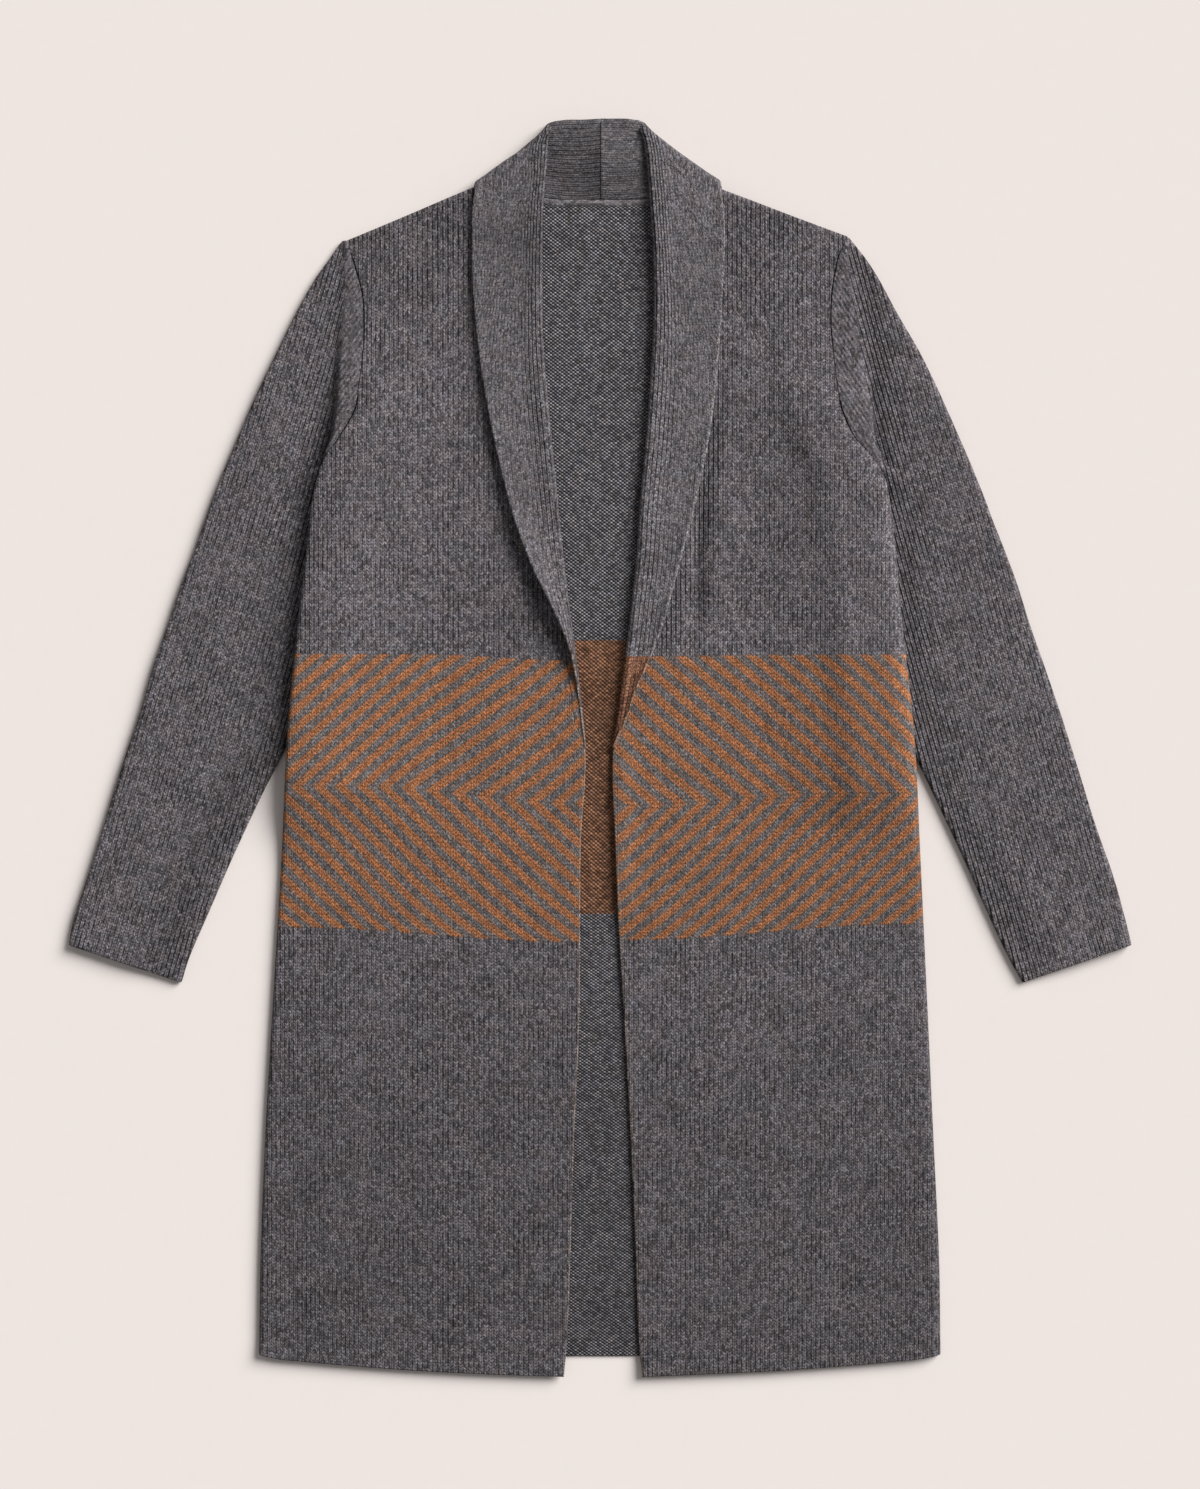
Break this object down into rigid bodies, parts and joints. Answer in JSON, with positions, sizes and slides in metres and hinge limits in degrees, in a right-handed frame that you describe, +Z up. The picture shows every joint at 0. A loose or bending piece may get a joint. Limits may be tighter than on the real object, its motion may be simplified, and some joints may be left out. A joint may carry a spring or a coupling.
{
  "type": "shawl collar cardigan",
  "caption": "Long open knitted cardigan with a folded shawl collar and set-in sleeves, laid flat with its front side up.",
  "frame": {"origin": "on the surface that the garment lies on, on the line through the centre of the back neck, about half way between hem and collar", "axes": "+X to the right across the garment as it is seen from above, +Y along the back towards the collar, +Z up, away from the surface that it lies on"},
  "size_m": [0.83, 0.9822, 0.0255],
  "materials": {
    "back_panel": "matte knit, purl side up",
    "front_left": "matte knit",
    "front_right": "matte knit",
    "sleeve_left": "matte knit",
    "sleeve_right": "matte knit",
    "collar_left": "matte knit",
    "collar_right": "matte knit"
  },
  "bodies": {
    "root": {"back_panel": "back_panel", "front_left": "front_left", "front_right": "front_right", "sleeve_left": "sleeve_left", "sleeve_right": "sleeve_right", "collar_left": "collar_left", "collar_right": "collar_right"}
  },
  "joints": []
}
